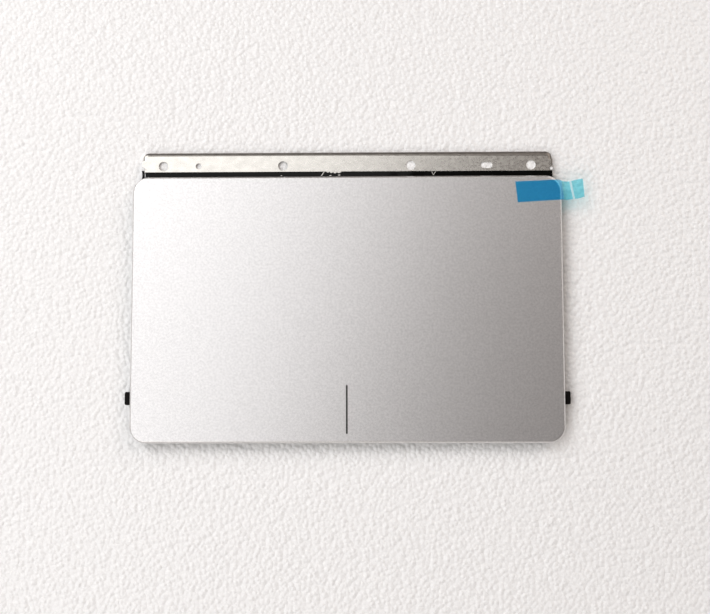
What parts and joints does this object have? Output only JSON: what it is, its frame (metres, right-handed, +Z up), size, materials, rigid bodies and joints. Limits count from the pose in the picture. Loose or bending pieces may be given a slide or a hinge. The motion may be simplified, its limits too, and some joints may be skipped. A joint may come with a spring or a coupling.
{
  "type": "laptop trackpad module",
  "caption": "Flat clickable trackpad module: a silver touch plate on a sprung carrier behind a screw flange, with a click switch and a cable connector underneath.",
  "frame": {"origin": "middle of the flange's screw line, on the flange's top face", "axes": "+X to the right along the screw line, +Y to the rear, away from the user, +Z up out of the touch face"},
  "size_m": [0.1121, 0.0715, 0.0038],
  "materials": {
    "flange_steel": "satin stainless sheet, fine grain",
    "spring_steel": "smooth spring steel",
    "strip_black": "glossy black film",
    "cover_silver": "satin metallic silver, fine grain",
    "divider_grey": "matt dark grey ink",
    "adhesive": "translucent adhesive sheet",
    "board_mask": "black-green solder mask",
    "chip_black": "matt moulded resin",
    "capacitor_ceramic": "fired ceramic with tinned ends",
    "resistor_black": "glazed black with tinned ends",
    "connector_ivory": "moulded, matt",
    "contact_gold": "gold plated",
    "tinned_metal": "tinned",
    "flap_brown": "moulded, matt",
    "switch_black": "moulded, matt",
    "button_ivory": "moulded, matt",
    "carrier_steel": "rolled stainless sheet",
    "rivet_steel": "smooth",
    "ear_rubber": "matt black",
    "bumper_rubber": "fine foam",
    "film_clear": "clear film",
    "tab_blue": "translucent blue film"
  },
  "bodies": {
    "flange": {"mounting_flange": "flange_steel", "hinge_leaves": "spring_steel", "dust_strip": "strip_black"},
    "pad": {"touch_cover": "cover_silver", "divider_line": "divider_grey", "cover_adhesive": "adhesive", "circuit_board": "board_mask", "touch_controller": "chip_black", "voltage_regulator": "chip_black", "capacitors": "capacitor_ceramic", "resistors": "resistor_black", "connector_housing": "connector_ivory", "connector_contacts": "contact_gold", "connector_anchors": "tinned_metal", "switch_base": "switch_black", "switch_dome": "spring_steel", "switch_cover": "tinned_metal", "switch_terminals": "tinned_metal", "plate_adhesive": "adhesive", "carrier_plate": "carrier_steel", "leaf_rivets": "rivet_steel", "ear_caps": "ear_rubber", "corner_bumpers": "bumper_rubber"},
    "button": {"switch_button": "button_ivory"},
    "cable_flap": {"connector_flap": "flap_brown"},
    "film": {"protective_film": "film_clear", "pull_tab": "tab_blue"},
    "tab_end": {"pull_tab_end": "tab_blue"}
  },
  "joints": [
    {"name": "pad_click", "type": "hinge", "parent": "flange", "child": "pad", "pos_m": [0, -0.00298, -0.0006], "axis": [1, 0, 0], "range_deg": [0, 0.3], "stiffness_Nm_per_rad": 6, "springref_deg": -0.29},
    {"name": "switch_press", "type": "slide", "parent": "pad", "child": "button", "axis": [0, 0, 1], "range_m": [0, 0.0003], "deforming": ["switch_dome"]},
    {"name": "flap_turn", "type": "hinge", "parent": "pad", "child": "cable_flap", "pos_m": [0.022, -0.01328, -0.00088], "axis": [-1, 0, 0], "range_deg": [0, 90]},
    {"name": "film_lift", "type": "slide", "parent": "pad", "child": "film", "axis": [0, 0, 1], "range_m": [0, 0.012]},
    {"name": "tab_fold", "type": "hinge", "parent": "film", "child": "tab_end", "pos_m": [0.0546, -0.0039, 0.00202], "axis": [0.0523, -0.9986, 0], "range_deg": [0, 150]}
  ],
  "couplings": [
    {"joint": "switch_press", "follows": "pad_click", "m_per_rad": 0.055025}
  ]
}
